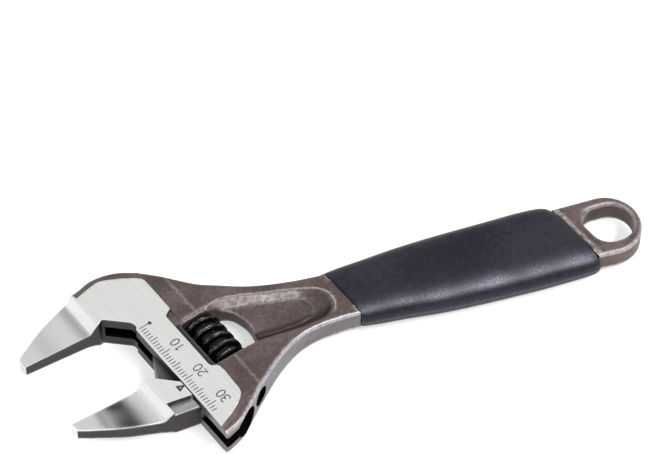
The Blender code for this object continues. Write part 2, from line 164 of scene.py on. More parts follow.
def rounded(corners, steps=8):
    """Closed outline from corners (x, y, radius)."""
    line = []
    count = len(corners)
    for i, (x, y, radius) in enumerate(corners):
        here = Vector((x, y))
        if radius <= 0:
            line.append(np.array([x, y]))
            continue
        before = (Vector(corners[i - 1][:2]) - here).normalized()
        after = (Vector(corners[(i + 1) % count][:2]) - here).normalized()
        half = before.angle(after) / 2
        reach = radius / math.tan(half)
        centre = here + (before + after).normalized() * radius / math.sin(half)
        first = here + before * reach - centre
        sweep = math.pi - 2 * half
        if first.cross(here + after * reach - centre) < 0:
            sweep = -sweep
        for k in range(steps + 1):
            line.append(np.array(centre + Matrix.Rotation(sweep * k / steps, 2) @ first))
    return line


def distance(points, line, closed=True):
    """Distance from each point to a line of points."""
    line = np.array(line)
    ends = np.roll(line, -1, axis=0) if closed else line[1:]
    best = np.full(len(points), 1e9)
    for p, q in zip(line, ends):
        d = q - p
        t = np.clip(((points - p) @ d) / max(d @ d, 1e-12), 0, 1)
        off = points - p - t[:, None] * d
        best = np.minimum(best, np.hypot(off[:, 0], off[:, 1]))
    return best


def inside(points, line):
    line = np.array(line)
    result = np.zeros(len(points), bool)
    x, y = points[:, 0], points[:, 1]
    for (ax, ay), (bx, by) in zip(line, np.roll(line, -1, axis=0)):
        if ay == by:
            continue
        crosses = (ay > y) != (by > y)
        result ^= crosses & (x < (bx - ax) * (y - ay) / (by - ay) + ax)
    return result


def depth_in(points, line):
    """Distance to the outline, positive inside it."""
    return np.where(inside(points, line), 1, -1) * distance(points, line)


def smooth(t):
    t = np.clip(t, 0, 1)
    return t * t * (3 - 2 * t)


def peak(d, width):
    """One where d is 0, falling away on both sides within about the width."""
    return np.exp(-((d / width) ** 2))


def fillet(d, radius):
    """Drop of a rounded edge at distance d from its wall."""
    r = np.maximum(radius, 1e-3)
    return r - np.sqrt(np.maximum(r * r - np.clip(r - d, 0, r) ** 2, 0))


def resampled(line, step, closed=True):
    """Points every step or so along a line, corners kept."""
    result = []
    count = len(line)
    for i in range(count if closed else count - 1):
        a, b = np.array(line[i]), np.array(line[(i + 1) % count])
        parts = max(1, int(np.hypot(*(b - a)) / step))
        result += [a + (b - a) * k / parts for k in range(parts)]
    return result if closed else result + [np.array(line[-1])]


def normals(line):
    """Unit sideways direction at each point of a closed line."""
    turn = np.roll(line, -1, axis=0) - np.roll(line, 1, axis=0)
    return np.stack([-turn[:, 1], turn[:, 0]], axis=1) / np.maximum(np.hypot(*turn.T), 1e-9)[:, None]


def offset(line, shift):
    """Closed line moved sideways, outwards for a positive shift of a line that runs clockwise."""
    line = np.array(resampled(line, 0.7))
    moved = line + shift * normals(line)
    return moved[distance(moved, line) > abs(shift) * 0.98]


def lumps(points, scale, seed):
    """Smooth unevenness from -1 to 1, one value for each point."""
    return np.array([noise.noise(Vector((p[0] / scale, p[1] / scale, seed))) for p in points])


# ---------------------------------------------------------------- outlines

# edge of the head behind the fixed jaw, edges of the shank, and end of the head below the knurl
BACK = [(-13.3, -27.4), (-16.9, -19.0), (-18.4, -14.0), (-20.2, -6.7), (-21.5, -0.5), (-20.3, 5.4)]
BACK += [(-17.3, 10.2), (-12.0, 15.2), (-4.6, 21.2)]
SHANK_TOP = [(-104.6, 13.0), (-96.0, 10.0), (-86.0, 8.3), (-78.2, 7.7)]
SHANK_LOW = [(-75.0, -7.5), (-82.0, -8.2), (-88.4, -10.2), (-95.2, -14.9), (-101.8, -21.4)]
HEAD_END = [(33.6, 14.0), (36.0, 9.8), (38.2, 5.6), (39.3, 1.0)]

BODY = heads([(0, TIP_V), (-12.2, TIP_V + 0.3)])
BODY += spline(heads(BACK) + handles(SHANK_TOP), 9)
BODY += [slanted(GRIP_START, 7.6), slanted(GRIP_START, CORE_WIDTH[0]), slanted(GRIP_END, CORE_WIDTH[1])]
BODY += [slanted(GRIP_END, RING_R - 0.2)]
BODY += handles(arc(0.3, 0, RING_R, 90, -90, 56))
BODY += [slanted(GRIP_END, 0.2 - RING_R), slanted(GRIP_END, -CORE_WIDTH[1])]
BODY += [slanted(GRIP_START, -CORE_WIDTH[0]), slanted(GRIP_START, -7.5)]
BODY += spline(handles(SHANK_LOW) + heads(HEAD_END), 9)
BODY += heads([(39.3, -4), (0, -4)])

MOUTH_CORNERS = [(face_u(-36), -36, 0), (face_u(-6.8), -6.8, 0.6), (-8.1, -5.6, 0.5), (-8.1, -4.9, 0.5)]
MOUTH_CORNERS += [(-3.0, 0.2, 0.8), (-2.2, 0.5, 0.2), (-0.9, 0.5, 0.2), (-0.4, 0.0, 0.2)]
MOUTH_CORNERS += [(BEYOND, 0.0, 0), (BEYOND, -36, 0)]
MOUTH = heads(rounded(MOUTH_CORNERS, 4))

WINDOW_CORNERS = [(4.9, 10.2, 0.8), (20.4, 10.2, 0.8), (20.6, 24.0, 1.4), (13.5, 25.7, 10.0)]
WINDOW_CORNERS += [(8.0, 24.1, 6.0), (5.0, 20.5, 3.0)]
WINDOW = heads(rounded(WINDOW_CORNERS, 10))

# milled pocket over the rack
STRIP_CORNERS = [(1.0, 8.5, 0.2), (20.0, 8.5, 0.3), (21.0, 10.2, 0.3)]
STRIP_CORNERS += [(21.0, 10.9, 0), (-0.2, 10.9, 0), (-0.2, 10.2, 0)]
STRIP = heads(rounded(STRIP_CORNERS, 4))
STRIP_FLOOR_CORNERS = [(1.1, 8.63, 0.1), (19.9, 8.63, 0.2), (20.9, 10.25, 0.2)]
STRIP_FLOOR_CORNERS += [(20.9, 10.8, 0), (-0.05, 10.8, 0), (-0.05, 10.25, 0)]
STRIP_FLOOR = heads(rounded(STRIP_FLOOR_CORNERS, 3))

# ground face of the head
POLISHED = [(-17.8, RAMP_TOP), (-18.4, -3.6), (-18.7, -1.8), (-18.9, -0.1), (-18.7, 1.4), (-18.2, 2.6)]
POLISHED += [(-16.3, 6.0), (-14.1, 9.2), (-12.8, 10.5), (-11.5, 10.9), (-0.6, 10.8), (0.6, 8.7), (2.0, 8.5)]
POLISHED += [(19.6, 8.5), (20.6, 8.8), (21.2, 10.0), (21.8, 10.4), (24.0, 10.6), (30.5, 10.3), (31.8, 9.9)]
POLISHED += [(32.8, 9.0), (34.1, 7.3), (35.6, 4.3), (37.2, -0.3), (37.4, -3), (-5, -3), (-5, RAMP_TOP)]
POLISHED = heads(POLISHED)


def hole_outline():
    """Hang hole, round at the end of the handle and squared towards the sleeve."""
    x, y, radius = 1.8, 0.35, 6.1
    low, high = y - radius, y + radius
    wall = -4.9
    square = [(x, low, 0), (wall - SLANT * low, low, 5.2), (wall - SLANT * high, high, 4.4), (x, high, 0)]
    return handles(arc(x, y, radius, 90, -90, 44) + rounded(square, 8)[1:-1])


def recess_outline():
    """Thumb recess in the shank, open towards the window."""
    top = [(-109.2, 3.8), (-107.8, 5.5), (-105.5, 6.5), (-103.0, 6.8), (-99.2, 6.4), (-94.0, 5.5)]
    top = spline(top + [(-88.8, 4.8), (-84.0, 3.9)], 5)
    end = arc(-81.9, -1.6, 4.8, 75, -75, 24)
    return handles([*top, *end, (-87.0, -7.4), (-97.0, -7.9), (-107.0, -8.2)])


HOLE = hole_outline()
RECESS = recess_outline()

# raised pad on the recess's floor
PAD = [(-108, 5.2), (-99.4, 4.7), (-94.7, 4.2), (-89.4, 3.5), *arc(-85.2, -1.0, 3.6, 72, -60, 14)]
PAD = handles(PAD + [(-88, -5.5), (-96, -5.9), (-108, -6.1)])

JAW = [(face_u(v) + JAW_GAP, v) for v in np.linspace(TIP_V, -6.4, 8)]
JAW += [(15.0, -5.0), (19.9, -0.3), (28.3, -0.3), (26.6, -7.3)]
JAW += spline([(26.0, -9.3), (23.8, -13.7), (20.8, -19.2), (16.4, -25.7)], 8)
JAW += [(14.3, TIP_V + 0.1)]
JAW = heads(JAW)

# step cut into the moving jaw's outer shoulder, at the face and at its floor
RELIEF = heads([(23.2, -7.1), (25.3, 1), (33, 1), (33, -7.1)])
RELIEF_FLOOR = heads([(23.4, -6.95), (25.46, 1), (33, 1), (33, -6.95)])
RELIEF_DEPTH = 1.3

# thin web between the moving jaw and its rail
WEB = [(14.5, -7.0), (13.5, -3.9), (12.4, -3.2), (6.9, -0.1), (6.2, 0.6), (RAIL_START + 0.6, RAIL_V)]
WEB += [(30.5, RAIL_V), (29.2, 2.0), (27.6, -1.0), (26.1, -7.0)]
WEB_HALF = 1.7


# ---------------------------------------------------------------- slabs

LINE_STEP = 0.5  # between points on the outer outline and on extra lines
HOLE_STEP = 0.4
ROW_CLEAR = 0.12  # least distance from the rows' points to an extra line
GRID_CLEAR = 0.35  # the same for the grid's points, as a share of its step
ROW_HEIGHT = 0.866  # between the grid's rows, as a share of its step
WALL_INSET = 0.55  # from each face to the nearest extra row of a wall
SHARP_DEG = 32


def slab_plan(outline, holes, lines, step, rows):
    """Points and triangles of a plan: rows beside its outlines, and a grid between them."""

    def kept(points, margin):
        ok = inside(points, outline)
        for hole in holes:
            ok &= ~inside(points, hole)
        for line, closed in lines:
            ok &= distance(points, line, closed) > margin
        return ok

    loops = [resampled(outline, LINE_STEP)] + [resampled(hole, HOLE_STEP) for hole in holes]
    followed = [(loop, True) for loop in loops]
    followed += [(resampled(line, LINE_STEP, closed), closed) for line, closed in lines]
    points = []
    edges = []
    for line, closed in followed:
        first, count = len(points), len(line)
        points.extend(line)
        edges.extend((first + i, first + (i + 1) % count) for i in range(count if closed else count - 1))
    for loop in loops:
        line = np.array(loop)
        normal = normals(line)
        for row in rows:
            for side in (1, -1):
                moved = line + side * normal * row
                moved = moved[kept(moved, ROW_CLEAR)]
                points.extend(moved[distance(moved, line) > row * 0.97])
    low, high = np.array(outline).min(0), np.array(outline).max(0)
    x = np.arange(low[0], high[0], step)
    y = np.arange(low[1], high[1], step * ROW_HEIGHT)
    grid = np.array([(a + (i % 2) * step / 2, b) for i, b in enumerate(y) for a in x])
    grid = grid[kept(grid, GRID_CLEAR * step)]
    for loop in loops:
        grid = grid[distance(grid, loop) > max(rows) + 0.3 * step]
    points.extend(grid)
    plan, _, faces, _, _, _ = delaunay_2d_cdt([Vector(p) for p in points], edges, [], 0, 1e-5)
    plan = np.array(plan)
    faces = np.array(faces)
    middles = plan[faces].mean(axis=1)
    ok = inside(middles, outline)
    for hole in holes:
        ok &= ~inside(middles, hole)
    return plan, faces[ok]


def slab(name, outline, holes, lines, measure, walls, step, rows, mats):
    """Closed solid with an upper and a lower face on the same plan.

    holes are outlines left open; lines are extra edges that the surface follows, each with True if it is
    closed; measure gives the half thickness, the pale share (tumbled edges and painted highlights), the
    share of painted shade and painted dark reflection, and the material of points; walls gives a wall's
    material; step is the grid's spacing; rows are the distances from the outlines at which rows of points
    run beside them.
    """
    plan, faces = slab_plan(outline, holes, lines, step, rows)
    face_kind = measure(plan[faces].mean(axis=1), False)[3]
    bm = bmesh.new()
    # pale share: tumbled edges and crests, plus painted highlights
    wear_and_sheen = bm.verts.layers.float.new("wear_and_sheen")
    # dark share: painted shade and painted dark reflections
    painted_shade_and_reflection = bm.verts.layers.float.new("painted_shade_and_reflection")
    decks = {}
    halves = {}
    for sign in (1, -1):
        half, wear_and_highlight, painted_dark_share, _ = measure(plan, sign < 0)
        halves[sign] = half
        deck = {}
        for i in np.unique(faces):
            vert = bm.verts.new(Vector((*plan[i], HALF + sign * half[i])) * MM)
            vert[wear_and_sheen] = wear_and_highlight[i]
            vert[painted_shade_and_reflection] = painted_dark_share[i]
            deck[i] = vert
        decks[sign] = deck
        for face, k in zip(faces, face_kind):
            corners = [deck[i] for i in (face if sign > 0 else face[::-1])]
            bm.faces.new(corners).material_index = int(k)
    sides = dict.fromkeys((int(face[i]), int(face[(i + 1) % 3])) for face in faces for i in range(3))
    rims = [(a, b) for a, b in sides if (b, a) not in sides]
    columns = {}

    def column(i):
        """The wall's vertices below one rim vertex, top to bottom."""
        if i not in columns:
            line = [decks[1][i]]
            for h in (halves[1][i] - WALL_INSET, 0, WALL_INSET - halves[-1][i]):
                line.append(bm.verts.new(Vector((*plan[i], HALF + h)) * MM))
            columns[i] = line + [decks[-1][i]]
        return columns[i]

    wall_kind = walls(np.array([(plan[a] + plan[b]) / 2 for a, b in rims]))
    for (a, b), k in zip(rims, wall_kind):
        left, right = column(a), column(b)
        for i in range(4):
            bm.faces.new((left[i], left[i + 1], right[i + 1], right[i])).material_index = int(k)
    bmesh.ops.recalc_face_normals(bm, faces=bm.faces)
    return finish_mesh(name, bm, mats)


def finish_mesh(name, bm, mats, angle=SHARP_DEG):
    mesh = bpy.data.meshes.new(name)
    bm.to_mesh(mesh)
    bm.free()
    for mat in mats:
        mesh.materials.append(mat)
    mesh.shade_smooth()
    mesh.set_sharp_from_angle(angle=math.radians(angle))
    obj = bpy.data.objects.new(name, mesh)
    bpy.context.scene.collection.objects.link(obj)
    return obj


def stitch(bm, rings, around=False):
    """Faces between rings of vertices, and from the last ring back to the first if they go around."""
    for low, high in zip(rings, rings[1:] + (rings[:1] if around else [])):
        for i in range(len(low)):
            j = (i + 1) % len(low)
            bm.faces.new((low[i], low[j], high[j], high[i]))


def loft(name, loops, mats):
    """Closed solid through loops of points."""
    bm = bmesh.new()
    rings = [[bm.verts.new(Vector(p) * MM) for p in loop] for loop in loops]
    stitch(bm, rings)
    bm.faces.new(rings[0][::-1])
    bm.faces.new(rings[-1])
    bmesh.ops.recalc_face_normals(bm, faces=bm.faces)
    return finish_mesh(name, bm, mats)


def rod(name, u_radius, v, mats, sides=64):
    """Turned solid along the slide, from (u, radius) pairs."""
    loops = []
    for u, radius in u_radius:
        ring = arc(v, HALF, radius, 0, 360 - 360 / sides, sides - 1)
        loops.append([(*head(u, a), b) for a, b in ring])
    return loft(name, loops, mats)


def swept(name, profile, u0, u1, mats):
    """Solid with a (V, z) profile, run along the slide."""
    return loft(name, [[(*head(u, v), z) for v, z in profile] for u in (u0, u1)], mats)


def prism(name, outline, low, high, mats):
    return loft(name, [[(*p, z) for p in outline] for z in (low, high)], mats)


def combine(obj, tools, operation):
    """Boolean with each tool in turn; the tools are used up."""
    for tool in tools:
        mod = obj.modifiers.new(tool.name, "BOOLEAN")
        mod.operation = operation
        mod.solver = "EXACT"
        mod.material_mode = "TRANSFER"
        mod.object = tool
    bpy.context.view_layer.update()
    mesh = bpy.data.meshes.new_from_object(obj.evaluated_get(bpy.context.evaluated_depsgraph_get()))
    obj.modifiers.clear()
    obj.data = mesh
    for tool in tools:
        bpy.data.objects.remove(tool)
    mesh.shade_smooth()
    mesh.set_sharp_from_angle(angle=math.radians(SHARP_DEG))
    return obj


# ---------------------------------------------------------------- materials


class Paint:
    """A material built from its nodes."""

    def __init__(self, name, metallic, roughness, **fixed):
        self.mat = bpy.data.materials.new(name)
        self.mat.use_nodes = True
        self.tree = self.mat.node_tree
        self.shader = self.tree.nodes["Principled BSDF"]
        self.shader.inputs["Metallic"].default_value = metallic
        self.shader.inputs["Roughness"].default_value = roughness
        for key, value in fixed.items():
            self.shader.inputs[key.replace("_", " ")].default_value = value
        self.coords = self.tree.nodes.new("ShaderNodeTexCoord").outputs["Object"]
        self.bumps = None

    def node(self, kind, **settings):
        item = self.tree.nodes.new(kind)
        for key, value in settings.items():
            setattr(item, key, value)
        return item

    def link(self, out, socket):
        self.tree.links.new(out, socket)

    def noise(self, size, stretch=(1, 1, 1), turn=0.0, detail=3.0, rough=0.5):
        """Noise with features of that size in millimetres; stretch lengthens them along turned X, Y, Z."""
        turned = self.node("ShaderNodeMapping", vector_type="TEXTURE")
        turned.inputs["Rotation"].default_value = (0, 0, math.radians(turn))
        turned.inputs["Scale"].default_value = tuple(size * s * MM for s in stretch)
        self.link(self.coords, turned.inputs["Vector"])
        tex = self.node("ShaderNodeTexNoise")
        tex.inputs["Scale"].default_value = 1.0
        tex.inputs["Detail"].default_value = detail
        tex.inputs["Roughness"].default_value = rough
        self.link(turned.outputs["Vector"], tex.inputs["Vector"])
        return tex.outputs["Fac"]

    def band(self, value, low, high, out_low=0.0, out_high=1.0):
        item = self.node("ShaderNodeMapRange", interpolation_type="SMOOTHSTEP")
        item.inputs["From Min"].default_value = low
        item.inputs["From Max"].default_value = high
        item.inputs["To Min"].default_value = out_low
        item.inputs["To Max"].default_value = out_high
        self.link(value, item.inputs["Value"])
        return item.outputs["Result"]

    def math(self, operation, a, b):
        item = self.node("ShaderNodeMath", operation=operation)
        for socket, value in zip(item.inputs, (a, b)):
            if isinstance(value, (int, float)):
                socket.default_value = value
            else:
                self.link(value, socket)
        return item.outputs[0]

    def weighed(self, a, share_a, b, share_b):
        return self.math("ADD", self.math("MULTIPLY", a, share_a), self.math("MULTIPLY", b, share_b))

    def mix(self, factor, a, b):
        """Colour between a and b; each is a colour or an output."""
        item = self.node("ShaderNodeMix", data_type="RGBA")
        self.link(factor, item.inputs["Factor"])
        colour_inputs = [s for s in item.inputs if s.type == "RGBA"]
        for socket, value in zip(colour_inputs, (a, b)):
            if isinstance(value, tuple):
                socket.default_value = (*value, 1)
            else:
                self.link(value, socket)
        return [s for s in item.outputs if s.type == "RGBA"][0]

    def attribute(self, name):
        return self.node("ShaderNodeAttribute", attribute_name=name).outputs["Fac"]

    def marked(self, name, mask):
        """A painted share of the mesh, broken up by a mask."""
        return self.math("MULTIPLY", self.attribute(name), mask)

    def colour(self, out):
        self.link(out, self.shader.inputs["Base Color"])

    def roughness(self, out):
        self.link(out, self.shader.inputs["Roughness"])

    def bump(self, height, depth):
        """Relief of that depth in millimetres."""
        item = self.node("ShaderNodeBump")
        item.inputs["Strength"].default_value = 1.0
        item.inputs["Distance"].default_value = depth * MM
        self.link(height, item.inputs["Height"])
        if self.bumps:
            self.link(self.bumps, item.inputs["Normal"])
        self.bumps = item.outputs["Normal"]
        self.link(self.bumps, self.shader.inputs["Normal"])


def srgb(*values):
    return tuple(((c / 255 + 0.055) / 1.055) ** 2.4 if c > 10 else c / 255 / 12.92 for c in values)


def make_forged(name, low, high, wear_and_sheen, rough=(0.40, 0.58)):
    """Descaled forging: finely pitted, paler where edges have been tumbled and where highlights are painted,
    darker where painted shade is laid on.
    """
    p = Paint(name, 0.55, 0.5)
    broad = p.noise(9.0, detail=4)
    fine = p.noise(0.9, detail=6, rough=0.65)
    grain = p.noise(0.22, detail=2)
    colour = p.mix(p.band(p.weighed(broad, 0.5, fine, 0.5), 0.36, 0.66), low, high)
    colour = p.mix(p.marked("wear_and_sheen", p.band(fine, 0.33, 0.58, 0.38, 1.0)), colour, wear_and_sheen)
    # painted shade: dark colour laid where the dark painted share is set
    colour = p.mix(p.marked("painted_shade_and_reflection", p.band(fine, 0.2, 0.6, 0.75, 1.0)), colour, srgb(50, 38, 37))
    p.colour(colour)
    p.roughness(p.band(fine, 0.3, 0.7, *rough))
    p.bump(broad, 0.12)
    p.bump(fine, 0.06)
    p.bump(grain, 0.012)
    return p.mat


def make_ground(name, low, high, rough, turn, grain_depth, wear_and_sheen=None):
    """Machine-ground steel: fine straight lines, faint broad smudges, dark where painted shade and painted
    reflections are laid on.
    """
    p = Paint(name, 1.0, 0.3)
    lines = p.noise(0.10, (90, 1, 1), turn, detail=4, rough=0.6)
    wide_lines = p.noise(0.35, (40, 1, 1), turn, detail=2)
    smudge = p.noise(7.0, detail=3)
    colour = p.mix(p.band(p.weighed(lines, 0.5, wide_lines, 0.5), 0.3, 0.7), low, high)
    # painted shade and painted dark reflection, from the dark painted share
    colour = p.mix(p.attribute("painted_shade_and_reflection"), colour, tuple(c * 0.11 for c in low))
    if wear_and_sheen:
        colour = p.mix(p.marked("wear_and_sheen", p.band(smudge, 0.3, 0.6, 0.5, 1.0)), colour, wear_and_sheen)
    p.colour(colour)
    p.roughness(p.band(p.weighed(smudge, 0.6, wide_lines, 0.4), 0.3, 0.7, *rough))
    p.bump(lines, grain_depth)
    return p.mat


def make_black():
    """Black oxide, scuffed to grey on the worm's crests."""
    p = Paint("black_oxide", 0.85, 0.32)
    fine = p.noise(0.6, detail=5)
    wipe = p.noise(0.7, (1, 7, 1), SLIDE_DEG, detail=3)
    colour = p.mix(p.band(fine, 0.35, 0.7), srgb(15, 14, 15), srgb(34, 32, 33))
    colour = p.mix(p.marked("wear_and_sheen", p.band(wipe, 0.42, 0.62)), colour, srgb(92, 89, 90))
    p.colour(colour)
    p.roughness(p.band(fine, 0.3, 0.7, 0.16, 0.32))
    p.bump(fine, 0.02)
    return p.mat


def make_rubber():
    """Satin thermoplastic rubber with a fine moulded texture, paler at its seam and lips, and a painted
    highlight band along the shoulders of its -Y edge.
    """
    p = Paint("grip_rubber", 0.0, 0.5, Specular_IOR_Level=0.22)
    broad = p.noise(14.0, (2, 1, 1), detail=3)
    mottle = p.noise(1.5, detail=3, rough=0.6)
    speck = p.noise(0.35, detail=4, rough=0.7)
    tone = p.band(p.weighed(broad, 0.55, mottle, 0.45), 0.36, 0.66)
    colour = p.mix(tone, srgb(7, 6, 18), srgb(28, 27, 35))
    # pale colour at the seam and lips, and the painted highlight band
    colour = p.mix(p.marked("wear_and_sheen", p.band(speck, 0.35, 0.65)), colour, srgb(120, 121, 140))
    p.colour(colour)
    p.roughness(p.band(speck, 0.3, 0.7, 0.30, 0.42))
    p.bump(speck, 0.045)
    p.bump(mottle, 0.03)
    p.bump(broad, 0.05)
    return p.mat


def make_mark():
    p = Paint("etched_mark", 0.2, 0.6)
    fine = p.noise(0.3, detail=3)
    p.colour(p.mix(p.band(fine, 0.35, 0.7), srgb(24, 22, 22), srgb(66, 64, 64)))
    p.bump(fine, 0.01)
    return p.mat


def make_wire():
    p = Paint("spring_wire", 1.0, 0.3)
    fine = p.noise(0.4, detail=4)
    p.colour(p.mix(p.band(fine, 0.35, 0.7), srgb(120, 120, 122), srgb(168, 168, 170)))
    p.roughness(p.band(fine, 0.3, 0.7, 0.24, 0.4))
    return p.mat


def grey(value):
    return srgb(value, value, value)


FORGED = make_forged("forged_skin", srgb(69, 58, 57), srgb(101, 87, 86), srgb(182, 173, 175))
SIDE = make_forged("forged_side", srgb(90, 86, 89), srgb(119, 114, 118), srgb(178, 174, 177), (0.30, 0.44))
# darker copy of the forged skin, painted shade for the window's and hang hole's inner walls
SHADED_FORGED = make_forged("forged_shaded", srgb(60, 49, 48), srgb(88, 75, 74), srgb(150, 138, 137))
FACE = make_ground(
    "ground_face", srgb(208, 208, 207), srgb(221, 221, 220), (0.26, 0.36), SLIDE_DEG, 0.003, grey(240)
)
RAMP = make_ground("ground_ramp", grey(218), grey(225), (0.26, 0.34), SLIDE_DEG, 0.0008, grey(232))
STEP = make_ground(
    "relief_floor", srgb(138, 137, 138), srgb(176, 175, 176), (0.30, 0.40), SLIDE_DEG + 90, 0.005, grey(184)
)
DARK = make_ground(
    "machined_wall", srgb(48, 45, 47), srgb(70, 66, 69), (0.34, 0.46), 13, 0.008, srgb(150, 148, 148)
)
THIN = make_ground(
    "jaw_face", srgb(198, 198, 199), srgb(207, 207, 208), (0.18, 0.28), SLIDE_DEG, 0.002, grey(244)
)
BLACK = make_black()
BORE = make_ground("bored_wall", srgb(22, 18, 18), srgb(40, 34, 33), (0.4, 0.55), SLIDE_DEG, 0.01)
RUBBER = make_rubber()
MARK = make_mark()
WIRE = make_wire()
PIN = make_ground("turned_steel", srgb(112, 110, 110), srgb(150, 148, 148), (0.28, 0.4), SLIDE_DEG, 0.006)


# ---------------------------------------------------------------- body

BODY_MATS = [FORGED, FACE, RAMP, DARK, THIN, BORE, SIDE, SHADED_FORGED]
CORE_FROM, CORE_TO = station_v(GRIP_START), station_v(GRIP_END)

# V of edges across the fixed jaw's ramp
RAMP_LINES = (-9.6, -9.3, -9.0, -8.7, -8.2, -7.7, -7.2, RAMP_TOP, -6.4)
# (V, half thickness) from the thin jaw tip up to the ground face
UPPER_JAW = [(TIP_V - 3, 1.65), (TIP_V, 1.75), (-9.6, 2.34), (-9.3, 2.43), (-9.0, 2.72), (-8.7, 3.12)]
UPPER_JAW += [(-8.2, 3.80), (-7.7, 4.42), (-7.2, 4.94), (RAMP_TOP, 5.21), (-6.4, TOP)]
LOWER_JAW = [(TIP_V - 3, 1.7), (TIP_V, 1.85), (-10.6, 2.5), (-8.5, 3.0), (-5.6, 4.75), (-4.9, TOP)]
# the same from the ground face back to the hang ring
BACK_LEVELS = [(10.8, TOP), (11.3, 4.75), (HEAD_BACK, 4.72), (24.0, 4.15), (38.0, 3.6), (CORE_FROM, 3.5)]
BACK_LEVELS += [(CORE_FROM + 0.1, CORE_HALF), (CORE_TO - 0.1, CORE_HALF), (CORE_TO, RING_HALF)]
# (depth into the recess's outline, half thickness)
RECESS_WALL = [(-1.6, 9), (-1.1, 5.2), (-0.4, 4.15), (1.2, 2.62), (1.7, 2.2), (2.4, 1.95), (3.4, 1.9)]
RECESS_ROWS = (1.35, 1.05, 0.85, 0.6, 0.2, -0.3, -0.8, -1.25, -1.7, -2.2)
PAD_HEIGHT = 0.32
PAD_ROWS = (0.3, 0.05, -0.2)
# (V, radius of the outer edge)
EDGE_RADII = [(-9, 0.2), (-4, 1.9), (12, 1.9), (30, 1.5), (CORE_FROM - 1, 1.2), (CORE_FROM, 0.3)]
EDGE_RADII += [(CORE_TO, 0.3), (CORE_TO + 0.5, 0.9)]
GRID_STEP = 0.75
OUTLINE_ROWS = (0.04, 0.12, 0.25, 0.45, 0.72, 1.05, 1.45, 1.95)


def along(levels, v):
    return np.interp(v, [p[0] for p in levels], [p[1] for p in levels])


class BodyPlan:
    """Where points lie on the body: their directions, and their distances from its outlines."""

    def __init__(self, points):
        self.points = points
        self.u, self.v = uv(points)
        self.run = points[:, 0] - RING[0]
        self.side = points[:, 1] - RING[1]
        self.polished = depth_in(points, POLISHED)
        self.recess = depth_in(points, RECESS)
        self.pad = depth_in(points, PAD)
        self.pocket = depth_in(points, STRIP)
        self.rim = distance(points, BODY)
        self.mouth = distance(points, MOUTH)
        self.window = distance(points, WINDOW)
        self.hole = distance(points, HOLE)
        self.shank = (self.v > 18) & (self.v < CORE_FROM)
        head_end = (self.u > 28) & (self.v > -5) & (self.v < CORE_FROM)
        self.low_side = head_end | (self.side < 0) & (self.v > 24) & (self.v < CORE_FROM)


def body_level(at, under):
    """Half thickness before edges are rounded, and the share of forged skin."""
    base = along((LOWER_JAW if under else UPPER_JAW) + BACK_LEVELS, at.v)
    fall = np.exp(-np.clip(-at.polished, 0, None) / 0.9)
    forged = np.where(at.v < 11, FORGED_HALF, base)
    beside_face = (at.v > RAMP_TOP) & (at.polished < 0)
    sunk = np.minimum(base, forged + (TOP - forged) * fall)
    base = np.where(beside_face & (at.v < HEAD_BACK), sunk, base)
    skin = np.where(beside_face, 1 - fall, 0)
    wall = along(RECESS_WALL, at.recess) + PAD_HEIGHT * smooth(at.pad / 0.35 + 0.5) * at.shank
    blend = np.clip(0.5 + 0.5 * (wall - base) / 0.16, 0, 1)
    softened = wall * (1 - blend) + base * blend - 0.16 * blend * (1 - blend)
    base = np.where(at.shank, softened, base)
    pocket_level = TOP + (HALF - STRIP_DEPTH - TOP) * np.clip(at.pocket / 0.12, 0, 1)
    return np.where(at.pocket > 0, np.minimum(base, pocket_level), base), skin


def body_drop(at, under):
    """How far rounded edges draw the faces in."""
    radius = along(EDGE_RADII, at.v)
    radius = np.where(at.low_side, np.minimum(radius, 0.75), radius)
    scoop = smooth((-at.run - 1) / 4) * smooth((at.side - 0.5) / 4)
    edges = [fillet(at.rim, radius), fillet(at.mouth, 0.13)]
    edges.append(fillet(at.window, np.where(at.pocket > -0.4, 0.25, 0.5)))
    edges.append(fillet(at.hole, 0.9 + (0.2 if under else 1.3) * scoop))
    return np.maximum.reduce(edges)


def rough_wall(at):
    """Share of coarse scale on the recess's upper wall."""
    rough = smooth((at.recess + 0.6) / 0.4) * smooth((2.0 - at.recess) / 0.7) * smooth((at.side - 1) / 2)
    return rough * at.shank * (0.35 + 0.65 * smooth((at.run + 107) / 9)) * smooth((-82.5 - at.run) / 3.5)


def body_wear(at, skin, rough):
    """Share of pale metal: tumbled edges and rims, plus painted highlights along the crease and on the collar,
    and a partly painted highlight on the recess's upper wall.
    """
    edge = np.minimum(np.minimum(at.rim, at.window + 0.35), np.where(at.v > CORE_TO, at.hole, 9))
    upper = 1 - 0.55 * smooth((at.side - 2) / 4) * (at.v < CORE_FROM)
    rims = np.where(skin > 0.2, 0.9 * upper * peak(edge, 0.55), 0.5 * peak(np.minimum(edge, at.mouth), 0.18))
    # painted highlight along the crease between head and shank
    crease = 0.30 * peak(at.v - HEAD_BACK, 0.3) * (at.v < 20)
    lip = peak(at.recess + 0.85, 0.22) * smooth((at.side + 6) / 3) * at.shank * (at.v < CORE_FROM - 2)
    beside_window = 0.6 * peak(at.u - 4.0, 0.4) * smooth((21 - at.v) / 2) * smooth((at.v - 10) / 2)
    lip = 0.85 * np.maximum(lip, beside_window)
    pad_line = 0.22 * peak(at.pad - 0.1, 0.25) * smooth((at.side + 5) / 2) * at.shank
    window_rim = 0.75 * peak(at.window - 0.12, 0.2) * smooth((at.v - 21) / 2)
    # pale coarse scale on the recess's upper wall, partly a painted highlight
    patches = rough * (0.52 + 0.5 * lumps(at.points, 1.1, 8.8))
    # painted highlight on the collar next to the grip
    collar = 0.8 * peak(at.v - CORE_TO - 0.9, 0.4) * (at.v > CORE_TO)
    wear_and_highlight = np.maximum.reduce([rims, crease * skin, lip * skin, window_rim, patches, pad_line * skin, collar])
    return np.clip(wear_and_highlight, 0, 1)


